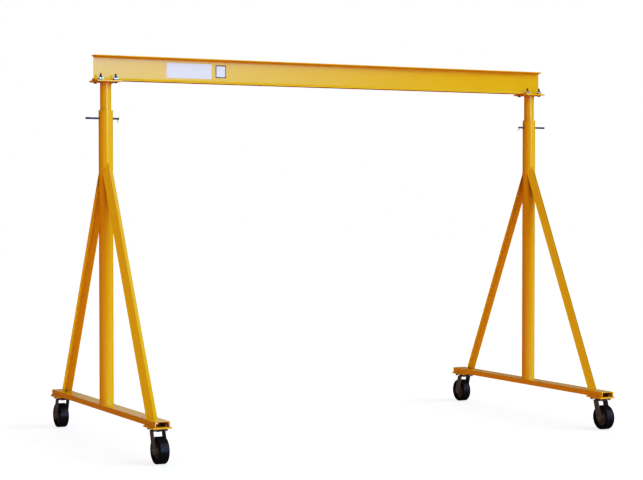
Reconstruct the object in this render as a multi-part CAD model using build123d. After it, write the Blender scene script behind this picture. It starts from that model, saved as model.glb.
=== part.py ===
from build123d import *
import os
from math import atan, cos, sin, sqrt

# An adjustable-height gantry crane on four swivel casters, at its lowest setting.
# Millimetres. X runs along the beam, Y from front to back and Z up. The origin is on the
# floor, midway between the two legs. The front is the side at -Y.

# Beam, a rolled section with tapered flanges
beam_length = 4300
beam_depth = 203
flange_width = 102
flange_tip = 7
web_thickness = 7
beam_root_radius = 8
beam_tip_radius = 3

# Rolled flanges of the beam and of the base channels slope by one in six
flange_slope_share = 1 / 6

# Top plates under the beam's ends, and the bolts that clamp the beam to them
top_plate_side = 203
top_plate_thickness = 12.7
clamp_bolt_spacing = 127
clamp_bolt_diameter = 16
clamp_stud_above_nut = 20
clamp_block_width = 44
clamp_block_depth = 38
clamp_block_thickness = 11
clamp_packing_diameter = 24

# Telescoping masts, round pipe in round pipe
outer_mast_diameter = 114.3
outer_mast_wall = 6
outer_mast_length = 2370
inner_mast_diameter = 88.9
inner_mast_wall = 7.6
inner_mast_length = 1524
inner_mast_showing = 225.4

# Height pins and the row of holes that sets the height
pin_diameter = 16
pin_below_mast_top = 66
pin_outer_reach = 170
pin_inner_reach = 114
pin_end_chamfer = 2
pin_groove_reach = 107
pin_groove_width = 4
pin_groove_depth = 1.2
hole_pitch = 152.4
hole_count = 7

# Wire clip that locks each pin
clip_wire = 3
clip_from_pin_end = 8
clip_above_pin = 6
clip_drop = 26
clip_bow = 12
clip_bend_radius = 4
clip_swing = 50

# Base channels, web up and flanges down
channel_length = 2395
channel_width = 121
channel_depth = 44.5
channel_web = 5
channel_flange_tip = 5.5
channel_root_radius = 6
channel_tip_radius = 2

# Angle braces from the base channel up to the mast, corner outwards
brace_leg = 63.5
brace_thickness = 6.4
brace_root_radius = 6
brace_toe_radius = 3
brace_foot_reach = 1031
brace_height = 1943
brace_seat_gap = 0.3

# Pads welded under the channels' ends
pad_width = 152
pad_length = 203
pad_thickness = 12.7
pad_corner = 3

# Caster top plate, race and kingpin
caster_height = 266.7
caster_plate_width = 114
caster_plate_length = 159
caster_plate_thickness = 8
caster_plate_corner = 12
race_diameter = 90
race_depth = 8
kingpin_diameter = 24
kingpin_head_diameter = 38
kingpin_head_height = 6

# Caster bolts
caster_bolt_diameter = 12.7
caster_bolt_spacing_x = 85.7
caster_bolt_spacing_y = 133.4
caster_bolt_above_nut = 5
caster_washer_diameter = 27
caster_washer_thickness = 2.5

# Caster fork
crown_thickness = 7
crown_diameter = 104
fork_leg_thickness = 6.4
fork_leg_top_width = 64
fork_boss_radius = 34
caster_trail = 47

# Wheel
wheel_diameter = 206
tyre_width = 80
tyre_thickness = 19
tyre_shoulder = 9
hub_length = 89
hub_diameter = 62
core_disc_thickness = 30
core_rim_thickness = 9
axle_diameter = 19

# Proportions of a hexagon nut and bolt head, as shares of the bolt's diameter
nut_flats_share = 1.5
nut_height_share = 0.85
head_height_share = 0.65

# Clearances
running_clearance = 0.05
pin_clearance = 0.3
bolt_clearance = 0.8
swivel_gap = 0.5
hub_gap = 0.7
overrun = 10

# Heights and places worked out from the sizes above
pad_underside = caster_height
channel_underside = pad_underside + pad_thickness
channel_top = channel_underside + channel_depth
outer_mast_top = channel_top + outer_mast_length
inner_mast_top = outer_mast_top + inner_mast_showing
beam_underside = inner_mast_top + top_plate_thickness
pin_height = outer_mast_top - pin_below_mast_top
leg_x = (beam_length - top_plate_side) / 2
caster_y = (channel_length - pad_length) / 2
caster_plate_underside = caster_height - caster_plate_thickness
race_underside = caster_plate_underside - race_depth
crown_top = race_underside - swivel_gap
crown_underside = crown_top - crown_thickness
axle_height = wheel_diameter / 2
fork_inside = hub_length + 2 * hub_gap
fork_outside = fork_inside + 2 * fork_leg_thickness

LEG_SIDES = {"left": -1, "right": 1}
CASTER_ENDS = {"front": -1, "rear": 1}


def corners(points, keep):
    """The vertices of a flat outline whose places pass a test."""
    return [v for v in points.vertices() if keep(v.X, v.Y)]


def bar(length, width, height, x=0, y=0, bottom=0):
    """A block centred on x and y that stands on a height."""
    return Pos(x, y, bottom + height / 2) * Box(length, width, height)


def rod(diameter, height, x=0, y=0, bottom=0):
    """An upright round bar that stands on a height."""
    return Pos(x, y, bottom + height / 2) * Cylinder(diameter / 2, height)


def drill(diameter, depth, x=0, y=0, bottom=0):
    """An upright cutter that runs past both faces of what it goes through."""
    return rod(diameter, depth + 2 * overrun, x, y, bottom - overrun)


def cross_rod(diameter, length, x=0, y=0, z=0):
    """A round bar along X, centred on its place."""
    return Pos(x, y, z) * Rot(0, 90, 0) * Cylinder(diameter / 2, length)


def hexagon(bolt_diameter, height, x=0, y=0, bottom=0):
    """A nut or bolt head with two of its flats facing along X."""
    across_flats = bolt_diameter * nut_flats_share
    outline = Rot(0, 0, 30) * RegularPolygon(across_flats / 2, 6, major_radius=False)
    return Pos(x, y, bottom) * extrude(outline, amount=height)


def pattern(spacing_x, spacing_y):
    """The four places of a bolt pattern around the origin."""
    return [
        (side * spacing_x / 2, end * spacing_y / 2)
        for side in (-1, 1)
        for end in (-1, 1)
    ]


# Beam
def beam_section():
    """Beam outline: flanges with sloped inner faces, joined by the web."""
    half_depth = beam_depth / 2
    half_flange = flange_width / 2
    half_web = web_thickness / 2
    flange_root = flange_tip + (half_flange - half_web) * flange_slope_share
    right_side = [
        (half_flange, half_depth),
        (half_flange, half_depth - flange_tip),
        (half_web, half_depth - flange_root),
        (half_web, flange_root - half_depth),
        (half_flange, flange_tip - half_depth),
        (half_flange, -half_depth),
    ]
    left_side = [(-y, z) for y, z in reversed(right_side)]
    outline = make_face(Polyline(*right_side, *left_side, close=True))
    middle = (half_web + half_flange) / 2
    roots = corners(outline, lambda y, z: abs(y) < middle)
    outline = fillet(roots, beam_root_radius)
    edge_middle = half_depth - flange_tip / 2
    tips = corners(outline, lambda y, z: abs(y) > middle and abs(z) < edge_middle)
    return fillet(tips, beam_tip_radius)


def beam():
    web_line = Plane((0, 0, beam_underside + beam_depth / 2), x_dir=(0, 1, 0), z_dir=(1, 0, 0))
    return extrude(web_line * beam_section(), amount=beam_length / 2, both=True)


# Top plate with its four bolt holes
def top_plate(x):
    plate = bar(top_plate_side, top_plate_side, top_plate_thickness, x=x, bottom=inner_mast_top)
    hole_diameter = clamp_bolt_diameter + 2 * bolt_clearance
    for dx, dy in pattern(clamp_bolt_spacing, clamp_bolt_spacing):
        plate -= drill(hole_diameter, top_plate_thickness, x + dx, dy, inner_mast_top)
    return plate


def clamp_bolts(x):
    """Four bolts with heads under the plate, and packing, clamp block and nut on the flange's edge."""
    reach = clamp_bolt_spacing / 2 - clamp_block_depth / 2
    block_bottom = beam_underside + flange_tip + (flange_width / 2 - reach) * flange_slope_share
    nut_bottom = block_bottom + clamp_block_thickness
    nut_height = clamp_bolt_diameter * nut_height_share
    head_height = clamp_bolt_diameter * head_height_share
    head_bottom = inner_mast_top - head_height
    bolt_top = nut_bottom + nut_height + clamp_stud_above_nut
    bolts = []
    for dx, dy in pattern(clamp_bolt_spacing, clamp_bolt_spacing):
        place = (x + dx, dy)
        bolt = hexagon(clamp_bolt_diameter, head_height, *place, head_bottom)
        bolt += rod(clamp_bolt_diameter, bolt_top - head_bottom, *place, head_bottom)
        bolt += rod(clamp_packing_diameter, block_bottom - beam_underside, *place, beam_underside)
        bolt += bar(clamp_block_width, clamp_block_depth, clamp_block_thickness, *place, block_bottom)
        bolt += hexagon(clamp_bolt_diameter, nut_height, *place, nut_bottom)
        bolts.append(bolt)
    return Compound(children=bolts)


# Masts
def tube(diameter, wall, length, x, bottom):
    bore = drill(diameter - 2 * wall, length, x, 0, bottom)
    return rod(diameter, length, x, 0, bottom) - bore


def pin_hole(x, z):
    return cross_rod(pin_diameter + 2 * pin_clearance, outer_mast_diameter + 2 * overrun, x, 0, z)


def outer_mast(x):
    mast = tube(outer_mast_diameter, outer_mast_wall, outer_mast_length, x, channel_top)
    return mast - pin_hole(x, pin_height)


def inner_mast(x):
    """The sliding pipe, with one hole at the pin and the rest below it for the raised settings."""
    bottom = inner_mast_top - inner_mast_length
    mast = tube(inner_mast_diameter, inner_mast_wall, inner_mast_length, x, bottom)
    for step in range(hole_count):
        mast -= pin_hole(x, pin_height - step * hole_pitch)
    return mast


# Height pin: long end outwards, short end inwards with a cross hole for the clip
def clip_place(x, side):
    """The clip's place on the pin, with its lower end swung back, in degrees, about the pin."""
    return Pos(x - side * (pin_inner_reach - clip_from_pin_end), 0, pin_height) * Rot(clip_swing, 0, 0)


def height_pin(x, side):
    length = pin_outer_reach + pin_inner_reach
    middle = x + side * (pin_outer_reach - pin_inner_reach) / 2
    pin = cross_rod(pin_diameter, length, middle, 0, pin_height)
    pin = chamfer(pin.edges().filter_by(GeomType.CIRCLE), pin_end_chamfer)
    groove_place = (x + side * pin_groove_reach, 0, pin_height)
    groove = cross_rod(pin_diameter + overrun, pin_groove_width, *groove_place)
    groove -= cross_rod(pin_diameter - 2 * pin_groove_depth, pin_groove_width, *groove_place)
    clip_hole = drill(clip_wire + 2 * pin_clearance, pin_diameter, bottom=-pin_diameter / 2)
    return pin - groove - clip_place(x, side) * clip_hole


def pin_clip(x, side):
    """A wire hairpin: one straight leg through the pin, the other bent back up beside it."""
    beside = pin_diameter / 2 + clip_wire / 2 + pin_clearance
    top = pin_diameter / 2 + clip_above_pin
    bottom = -pin_diameter / 2 - clip_drop
    sheet = Plane((0, 0, 0), x_dir=(0, -1, 0), z_dir=(-1, 0, 0))
    route = FilletPolyline(
        (0, top),
        (0, bottom),
        (clip_bow, bottom),
        (clip_bow, bottom / 2),
        (beside, -clip_wire),
        (beside, top),
        radius=clip_bend_radius,
    )
    wire = sheet * route
    profile = Plane(wire @ 0, z_dir=wire % 0) * Circle(clip_wire / 2)
    return clip_place(x, side) * sweep(profile, path=wire)


# Base channel with its web on top
def channel_section():
    half_width = channel_width / 2
    inside = half_width - channel_flange_tip
    inside_top = inside - (channel_depth - channel_web) * flange_slope_share
    right_side = [
        (half_width, 0),
        (half_width, -channel_depth),
        (inside, -channel_depth),
        (inside_top, -channel_web),
    ]
    left_side = [(-x, z) for x, z in reversed(right_side)]
    outline = make_face(Polyline(*right_side, *left_side, close=True))
    middle = -(channel_depth + channel_web) / 2
    roots = corners(outline, lambda x, z: abs(x) < inside and middle < z < 0)
    outline = fillet(roots, channel_root_radius)
    toe_limit = half_width - channel_flange_tip / 2
    toes = corners(outline, lambda x, z: abs(x) < toe_limit and z < middle)
    return fillet(toes, channel_tip_radius)


def base_channel(x):
    end = Plane((x, 0, channel_top), x_dir=(1, 0, 0), z_dir=(0, -1, 0))
    return extrude(end * channel_section(), amount=channel_length / 2, both=True)


# Angle brace
def angle_section():
    """An equal angle with its corner at the origin and its legs spread about +Y."""
    outline = make_face(Polyline(
        (0, 0),
        (brace_leg, 0),
        (brace_leg, brace_thickness),
        (brace_thickness, brace_thickness),
        (brace_thickness, brace_leg),
        (0, brace_leg),
        close=True,
    ))
    root = corners(outline, lambda x, y: 0 < x < brace_leg / 2 and 0 < y < brace_leg / 2)
    outline = fillet(root, brace_root_radius)
    toes = corners(outline, lambda x, y: x + y > brace_leg + brace_thickness / 2)
    return Rot(0, 0, 45) * fillet(toes, brace_toe_radius)


def brace(x, end):
    """A brace whose foot stands on the channel and whose top is coped round the mast."""
    mast_face = outer_mast_diameter / 2
    lean = atan((brace_foot_reach - mast_face) / brace_height)
    toe_depth = brace_leg / sqrt(2) * cos(lean)
    rise = (brace_foot_reach - toe_depth / 2) / sin(lean)
    foot = Plane((0, -brace_foot_reach, channel_top), x_dir=(1, 0, 0), z_dir=(0, sin(lean), cos(lean)))
    bottom_trim = brace_leg
    start = Plane(foot.origin - foot.z_dir * bottom_trim, x_dir=foot.x_dir, z_dir=foot.z_dir)
    front = extrude(start * angle_section(), amount=rise + bottom_trim)
    room = bar(2 * brace_leg, brace_foot_reach + brace_leg, 2 * brace_height,
               y=-(brace_foot_reach + brace_leg) / 2, bottom=channel_top)
    front = front & room
    front -= drill(outer_mast_diameter + 2 * brace_seat_gap, 2 * brace_height, bottom=channel_top)
    turn = 0 if end < 0 else 180
    return Pos(x, 0, 0) * Rot(0, 0, turn) * front


# Casters, drawn at the front and turned half way round for the rear
def at_caster(x, end, piece):
    turn = 0 if end < 0 else 180
    return Pos(x, end * caster_y, 0) * Rot(0, 0, turn) * piece


def bolted_plate(width, length, corner, thickness, bottom):
    plate = Pos(0, 0, bottom) * extrude(RectangleRounded(width, length, corner), amount=thickness)
    hole_diameter = caster_bolt_diameter + 2 * bolt_clearance
    for dx, dy in pattern(caster_bolt_spacing_x, caster_bolt_spacing_y):
        plate -= drill(hole_diameter, thickness, dx, dy, bottom)
    return plate


def caster_pad():
    return bolted_plate(pad_width, pad_length, pad_corner, pad_thickness, pad_underside)


def caster_plate():
    """Top plate with rounded corners, the fixed race under it and the kingpin."""
    plate = bolted_plate(caster_plate_width, caster_plate_length, caster_plate_corner,
                         caster_plate_thickness, caster_plate_underside)
    race = rod(race_diameter, race_depth, bottom=race_underside)
    head_top = crown_underside - swivel_gap
    head_bottom = head_top - kingpin_head_height
    kingpin = rod(kingpin_diameter, race_underside - head_bottom, bottom=head_bottom)
    head = rod(kingpin_head_diameter, kingpin_head_height, bottom=head_bottom)
    return plate + race + kingpin + head


def caster_bolts(x):
    """Eight bolts, four at each end, with heads under the caster plate and nuts in the channel."""
    head_height = caster_bolt_diameter * head_height_share
    nut_height = caster_bolt_diameter * nut_height_share
    washer_bottom = caster_plate_underside - caster_washer_thickness
    head_bottom = washer_bottom - head_height
    nut_bottom = channel_underside
    bolt_top = nut_bottom + nut_height + caster_bolt_above_nut
    bolts = []
    for end in CASTER_ENDS.values():
        for dx, dy in pattern(caster_bolt_spacing_x, caster_bolt_spacing_y):
            place = (x + dx, end * caster_y + dy)
            bolt = hexagon(caster_bolt_diameter, head_height, *place, head_bottom)
            bolt += rod(caster_washer_diameter, caster_washer_thickness, *place, washer_bottom)
            bolt += rod(caster_bolt_diameter, bolt_top - head_bottom, *place, head_bottom)
            bolt += hexagon(caster_bolt_diameter, nut_height, *place, nut_bottom)
            bolts.append(bolt)
    return Compound(children=bolts)


def fork():
    """Round crown with two slanted legs that carry the axle behind the swivel."""
    top_edge = Line((-fork_leg_top_width / 2, crown_top), (fork_leg_top_width / 2, crown_top))
    boss = Pos(caster_trail, axle_height) * Circle(fork_boss_radius)
    leg_outline = make_hull([top_edge, *boss.edges()])
    legs = []
    for side in (-1, 1):
        inner_face = side * fork_inside / 2
        sheet = Plane((inner_face, 0, 0), x_dir=(0, -1, 0), z_dir=(-1, 0, 0))
        legs.append(extrude(sheet * leg_outline, amount=-side * fork_leg_thickness))
    crown = rod(crown_diameter, crown_thickness, bottom=crown_underside)
    crown &= bar(fork_outside, crown_diameter, crown_thickness, bottom=crown_underside)
    whole = crown + legs[0] + legs[1]
    whole -= drill(kingpin_diameter + 2 * running_clearance, crown_thickness, bottom=crown_underside)
    whole -= cross_rod(axle_diameter, fork_outside + 2 * overrun, 0, -caster_trail, axle_height)
    return whole


def axle():
    """Axle bolt through the fork's legs, with a head at one end and a nut at the other."""
    head_height = axle_diameter * head_height_share
    bolt = cross_rod(axle_diameter, fork_outside + 2 * head_height, 0, -caster_trail, axle_height)
    outline = RegularPolygon(axle_diameter * nut_flats_share / 2, 6, major_radius=False)
    for side in (-1, 1):
        face = (side * fork_outside / 2, -caster_trail, axle_height)
        sheet = Plane(face, x_dir=(0, 1, 0), z_dir=(1, 0, 0))
        bolt += extrude(sheet * outline, amount=side * head_height)
    return bolt


def turned(points):
    """A ring turned about the wheel's axis from half of its outline, given as (radius, across)."""
    outline = make_face(Polyline(*points, *[(r, -w) for r, w in reversed(points)], close=True))
    sheet = Plane((0, -caster_trail, axle_height), x_dir=(0, 0, 1), z_dir=(0, -1, 0))
    return revolve(sheet * outline, axis=Axis((0, -caster_trail, axle_height), (1, 0, 0)))


def tyre():
    tread = wheel_diameter / 2
    return turned([
        (tread - tyre_thickness, tyre_width / 2),
        (tread - tyre_shoulder, tyre_width / 2),
        (tread, tyre_width / 2 - tyre_shoulder),
    ])


def wheel_core():
    """Rim, disc and hub in one casting, bored for the axle."""
    rim = wheel_diameter / 2 - tyre_thickness
    return turned([
        (axle_diameter / 2 + running_clearance, hub_length / 2),
        (hub_diameter / 2, hub_length / 2),
        (hub_diameter / 2, core_disc_thickness / 2),
        (rim - core_rim_thickness, core_disc_thickness / 2),
        (rim - core_rim_thickness, tyre_width / 2),
        (rim, tyre_width / 2),
    ])


def build():
    """Every node of the crane by name."""
    nodes = {"beam": beam()}
    for leg, side in LEG_SIDES.items():
        x = side * leg_x
        nodes[f"{leg}_top_plate"] = top_plate(x)
        nodes[f"{leg}_clamp_bolts"] = clamp_bolts(x)
        nodes[f"{leg}_inner_mast"] = inner_mast(x)
        nodes[f"{leg}_outer_mast"] = outer_mast(x)
        nodes[f"{leg}_height_pin"] = height_pin(x, side)
        nodes[f"{leg}_pin_clip"] = pin_clip(x, side)
        nodes[f"{leg}_base_channel"] = base_channel(x)
        nodes[f"{leg}_caster_bolts"] = caster_bolts(x)
        for place, end in CASTER_ENDS.items():
            name = f"{leg}_{place}"
            nodes[f"{name}_brace"] = brace(x, end)
            nodes[f"{name}_caster_pad"] = at_caster(x, end, caster_pad())
            nodes[f"{name}_caster_plate"] = at_caster(x, end, caster_plate())
            nodes[f"{name}_fork"] = at_caster(x, end, fork())
            nodes[f"{name}_axle"] = at_caster(x, end, axle())
            nodes[f"{name}_tyre"] = at_caster(x, end, tyre())
            nodes[f"{name}_wheel_core"] = at_caster(x, end, wheel_core())
    return nodes


os.makedirs("parts", exist_ok=True)
for node_name, solid in build().items():
    export_step(solid, f"parts/{node_name}.step")
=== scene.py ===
import math

import bmesh
import bpy
from mathutils import Matrix, Vector


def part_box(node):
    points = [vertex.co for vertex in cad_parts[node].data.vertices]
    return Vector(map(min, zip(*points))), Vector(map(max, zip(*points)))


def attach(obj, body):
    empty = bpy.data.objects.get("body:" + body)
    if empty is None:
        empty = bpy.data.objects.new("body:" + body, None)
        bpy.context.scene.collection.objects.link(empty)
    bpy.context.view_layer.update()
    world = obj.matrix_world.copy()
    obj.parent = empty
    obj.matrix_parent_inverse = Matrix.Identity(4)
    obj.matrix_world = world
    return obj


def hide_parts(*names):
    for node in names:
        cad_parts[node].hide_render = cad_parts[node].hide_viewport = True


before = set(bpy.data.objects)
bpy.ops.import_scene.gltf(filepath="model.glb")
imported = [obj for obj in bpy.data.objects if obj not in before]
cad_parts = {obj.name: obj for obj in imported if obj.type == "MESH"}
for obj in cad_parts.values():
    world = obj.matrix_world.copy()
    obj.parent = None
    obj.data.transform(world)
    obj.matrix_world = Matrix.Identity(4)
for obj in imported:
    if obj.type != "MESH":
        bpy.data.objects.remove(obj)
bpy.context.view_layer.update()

# Rolled sections, whose outside sizes come from the frame
beam_web = 0.007
beam_flange_tip = 0.007
beam_root_radius = 0.008
beam_tip_radius = 0.003
channel_web = 0.005
channel_flange_tip = 0.0055
channel_root_radius = 0.006
channel_toe_radius = 0.002
flange_slope = 1 / 6
mill_edge = 0.0012
cut_edge = 0.0008
smooth_angle = 46
rounded_angle = 42

# Masts, height pins and their clips
outer_mast_wall = 0.006
inner_mast_wall = 0.0076
pin_hole_clearance = 0.0003
hole_pitch = 0.1524
hole_count = 7
pin_chamfer = 0.002
pin_groove_reach = 0.107
pin_groove_width = 0.004
pin_groove_depth = 0.0012
clip_wire = 0.003
clip_bow_width = 0.012
clip_above_pin = 0.006
clip_drop = 0.026
clip_swing = 50

# Plates
plate_edge = 0.0015
pad_corner = 0.003
caster_plate_corner = 0.012
caster_plate_thickness = 0.008

# Clamp bolts at the beam and caster bolts at the pads
clamp_spacing = 0.127
clamp_bolt = 0.016
clamp_block_width = 0.044
clamp_block_depth = 0.038
clamp_block_thickness = 0.011
clamp_stud_length = 0.020
clamp_packing = 0.024
caster_bolt = 0.0127
caster_bolt_spacing_x = 0.0857
caster_bolt_spacing_y = 0.1334
caster_stud_length = 0.005
caster_washer = 0.027
caster_washer_thickness = 0.0025
nut_flats_share = 1.5
nut_height_share = 0.85
head_height_share = 0.65
nut_chamfer_share = 0.09
nut_face_share = 0.98
round_bar_share = 1.01
thin_nut_share = 0.8
thread_pitch_share = 0.125
thread_depth_share = 0.06
hole_radius_share = 0.55
drill_length_share = 4

# Caster
race_diameter = 0.090
race_depth = 0.008
swivel_gap = 0.0005
kingpin_diameter = 0.024
kingpin_nut = 0.034
kingpin_nut_height = 0.006
kingpin_collar_share = 1.2
kingpin_tip_share = 0.6
crown_thickness = 0.007
fork_plate = 0.0064
fork_top_width = 0.064
fork_boss_radius = 0.034
axle_diameter = 0.019
axle_washer = 0.036
axle_washer_thickness = 0.0025

# Wheel
tyre_thickness = 0.019
tyre_shoulder = 0.009
bond_line = 0.001
rim_thickness = 0.009
rim_lip = 0.002
core_disc = 0.030
core_fillet = 0.006
hub_diameter = 0.062
bearing_face = 0.040
bearing_recess = 0.0015

# Weld beads
weld_size = 0.0045
ripple_pitch = 0.0016
ripple_depth_share = 0.85

# Bare stickers on the beam's front, where the photographed crane has printed ones
sticker_thickness = 0.0004
wide_sticker = (-1.521, -1.121, 2.972, 3.095)
small_sticker = (-1.084, -0.990, 2.984, 3.088)
sticker_corner = 0.004
sticker_border = 0.007

# Camera: lens and sensor in millimetres, place in metres, tilt and heading in degrees
camera_lens = 94.55
camera_sensor = 36
camera_place = (-6.7777, -12.875, 2.0133)
camera_tilt = 88.47
camera_heading = -27.44

X, Y, Z = range(3)
LEGS = {"left": -1, "right": 1}
ENDS = {"front": -1, "rear": 1}
close = 0.00002
along_share = 0.999
facing_share = 0.9
flat_bend = 0.001


# Handling a piece
def alone(piece):
    """Makes a piece the only one selected."""
    bpy.ops.object.select_all(action="DESELECT")
    piece.select_set(True)
    bpy.context.view_layer.objects.active = piece


def named(name):
    """Names the piece that was just added and settles its place into its mesh."""
    piece = bpy.context.active_object
    piece.name = name
    piece.data.name = name
    alone(piece)
    bpy.ops.object.transform_apply(location=True, rotation=True, scale=True)
    return piece


def moved(piece, spot, turn=(0, 0, 0)):
    """Turns a piece that was made about the origin, moves it to its place and settles it there."""
    alone(piece)
    piece.rotation_euler = turn
    piece.location = spot
    bpy.ops.object.transform_apply(location=True, rotation=True, scale=True)
    return piece


def shaping(piece):
    """Opens a piece in edit mode."""
    alone(piece)
    bpy.ops.object.mode_set(mode="EDIT")


def shaped():
    """Closes edit mode."""
    bpy.ops.object.mode_set(mode="OBJECT")


def place(part):
    """The middle of a face, edge or corner."""
    spots = [corner.co for corner in getattr(part, "verts", [part])]
    return sum(spots, Vector()) / len(spots)


def runs_along(edge, axis):
    """True if an edge lies along X, Y or Z."""
    line = edge.verts[1].co - edge.verts[0].co
    return abs(line[axis]) > along_share * line.length


def near(value, target):
    return abs(value - target) < close


def pick(piece, kind, wanted):
    """In edit mode, selects only the faces, edges or corners that pass a test."""
    bpy.ops.mesh.select_mode(type=kind)
    bpy.ops.mesh.select_all(action="DESELECT")
    form = bmesh.from_edit_mesh(piece.data)
    parts = {"FACE": form.faces, "EDGE": form.edges, "VERT": form.verts}[kind]
    for part in [part for part in parts if wanted(part)]:
        part.select_set(True)
    bmesh.update_edit_mesh(piece.data)


def pick_all():
    bpy.ops.mesh.select_all(action="SELECT")


def round_edges(piece, wanted, size, steps):
    """In edit mode, rounds the edges that pass a test."""
    pick(piece, "EDGE", wanted)
    bpy.ops.mesh.bevel(offset=size, segments=steps, affect="EDGES")


def round_corners(plate, axis, size, steps):
    """Rounds the corner edges of a plate, which run along an axis."""
    shaping(plate)
    round_edges(plate, lambda edge: runs_along(edge, axis), size, steps)
    shaped()


def flatten(bend=flat_bend):
    """In edit mode, joins faces that lie in one plane."""
    pick_all()
    bpy.ops.mesh.dissolve_limited(angle_limit=bend)


def slice_at(spot, normal):
    """In edit mode, scores the whole piece along a plane."""
    pick_all()
    bpy.ops.mesh.bisect(plane_co=spot, plane_no=normal)


def pull(move):
    """Extrudes the picked faces."""
    bpy.ops.mesh.extrude_region_move(TRANSFORM_OT_translate={"value": move})


def apply(piece, modifier):
    alone(piece)
    bpy.ops.object.modifier_apply(modifier=modifier.name)


def smooth(piece):
    """Smooths the shading over all edges but the sharp ones."""
    alone(piece)
    bpy.ops.object.shade_smooth_by_angle(angle=math.radians(smooth_angle))


def shade(piece):
    """Smooths the shading over rounded edges and keeps the large faces flat."""
    smooth(piece)
    evening = piece.modifiers.new("even faces", "WEIGHTED_NORMAL")
    evening.keep_sharp = True
    apply(piece, evening)


def soften(piece, width, steps=2):
    """Rounds every sharp edge of a piece."""
    rounding = piece.modifiers.new("rounding", "BEVEL")
    rounding.width = width
    rounding.segments = steps
    rounding.limit_method = "ANGLE"
    rounding.angle_limit = math.radians(rounded_angle)
    apply(piece, rounding)
    shade(piece)


def joined(name, pieces):
    """Joins pieces into one."""
    bpy.ops.object.select_all(action="DESELECT")
    for piece in pieces:
        piece.select_set(True)
    bpy.context.view_layer.objects.active = pieces[0]
    if len(pieces) > 1:
        bpy.ops.object.join()
    return named(name)


def combine(piece, tool, way):
    """Cuts a tool's shape out of a piece, or keeps what both share, and puts the tool away."""
    cutting = piece.modifiers.new("cutting", "BOOLEAN")
    cutting.operation = way
    cutting.solver = "EXACT"
    cutting.object = tool
    apply(piece, cutting)
    bpy.data.objects.remove(tool)


def copied(piece, name, move=(0, 0, 0), turn=0):
    """A copy with its own mesh, turned about the upright through the origin and then moved."""
    twin = piece.copy()
    twin.data = piece.data.copy()
    twin.name = name
    twin.data.name = name
    bpy.context.collection.objects.link(twin)
    twin.data.transform(Matrix.Translation(move) @ Matrix.Rotation(turn, 4, "Z"))
    return twin


def fit(piece, material, body, slot, *nodes):
    """Gives a piece its finish, body and CAD nodes; the slot is not used. Without a finish, its parts keep
    their own.
    """
    if material:
        piece.data.materials.clear()
        piece.data.materials.append(material)
    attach(piece, body)
    if nodes:
        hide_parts(*nodes)


def paint(piece, body, *nodes):
    fit(piece, crane_paint, body, "crane_paint", *nodes)


def middle_of(node):
    """The middle of a CAD node's box."""
    return sum(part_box(node), Vector()) / 2


# Simple forms that the pieces start from
def block(name, low, high):
    low, high = Vector(low), Vector(high)
    bpy.ops.mesh.primitive_cube_add(size=1, location=(low + high) / 2)
    bpy.context.active_object.scale = high - low
    return named(name)


TURNS = {"X": (0, math.pi / 2, 0), "Z": (0, 0, 0)}


def rod(name, middle, length, radius, along="Z", sides=64):
    bpy.ops.mesh.primitive_cylinder_add(
        vertices=sides, radius=radius, depth=length, location=middle, rotation=TURNS[along])
    return named(name)


def tube(name, middle, length, radius, wall):
    """An upright pipe with its end rims rounded."""
    pipe = rod(name, middle, length, radius, sides=96)
    shaping(pipe)
    pick(pipe, "FACE", lambda face: abs(face.normal.z) > facing_share)
    bpy.ops.mesh.inset(thickness=wall)
    bpy.ops.mesh.bridge_edge_loops()
    round_edges(pipe, lambda edge: near(abs(place(edge).z - middle.z), length / 2)
                and len({abs(face.normal.z) > facing_share for face in edge.link_faces}) == 2, mill_edge, 2)
    for end in (-1, 1):
        slice_at((0, 0, middle.z + end * (length / 2 - 2 * mill_edge)), (0, 0, 1))
    shaped()
    return pipe


def turned(name, outline, at=(0, 0, 0), along="Z", sides=64):
    """A piece spun from an outline of (radius, height) corners about its axis."""
    bpy.ops.mesh.primitive_plane_add(size=1)
    piece = named(name)
    shaping(piece)
    bpy.ops.mesh.select_mode(type="VERT")
    pick_all()
    bpy.ops.mesh.merge(type="CENTER")
    bpy.ops.transform.translate(value=(outline[0][0], 0, outline[0][1]))
    for (radius, height), (next_radius, next_height) in zip(outline, outline[1:]):
        step = (next_radius - radius, 0, next_height - height)
        bpy.ops.mesh.extrude_vertices_move(TRANSFORM_OT_translate={"value": step})
    pick_all()
    bpy.ops.mesh.spin(steps=sides, angle=2 * math.pi, center=(0, 0, 0), axis=(0, 0, 1))
    pick_all()
    bpy.ops.mesh.remove_doubles(threshold=close / 4)
    bpy.ops.mesh.normals_make_consistent(inside=False)
    shaped()
    return moved(piece, at, TURNS[along])


def both_halves(half):
    """A ring's outline from the half at one side of its middle, closed on itself."""
    other = [(radius, -across) for radius, across in reversed(half)]
    return [*half, *other, half[0]]


def quarter(radius_at, across_at, size, steps):
    """Points of a quarter round from facing across to facing outwards, about a centre."""
    turns = [math.pi / 2 * step / steps for step in range(steps + 1)]
    return [(radius_at + size * math.sin(turn), across_at + size * math.cos(turn)) for turn in turns]


def hexagon(name, bolt, height, foot, ends):
    """A nut or bolt head whose corners are turned down at the named ends, 1 for top and -1 for foot."""
    flats = bolt * nut_flats_share
    corner = flats / math.sqrt(3)
    chamfer = bolt * nut_chamfer_share
    middle = (0, 0, foot + height / 2)
    blank = rod(name, middle, height, corner, sides=6)
    round_bar = rod("round bar", middle, height + close, corner * round_bar_share, sides=48)
    shaping(round_bar)
    for end in ends:
        rim = middle[2] + end * (height + close) / 2
        slice_at((0, 0, rim - end * chamfer), (0, 0, 1))
        pick(round_bar, "VERT", lambda corner_point: near(corner_point.co.z, rim))
        share = flats / 2 * nut_face_share / corner
        bpy.ops.transform.resize(value=(share, share, 1), center_override=(0, 0, rim))
    shaped()
    combine(blank, round_bar, "INTERSECT")
    return blank


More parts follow.
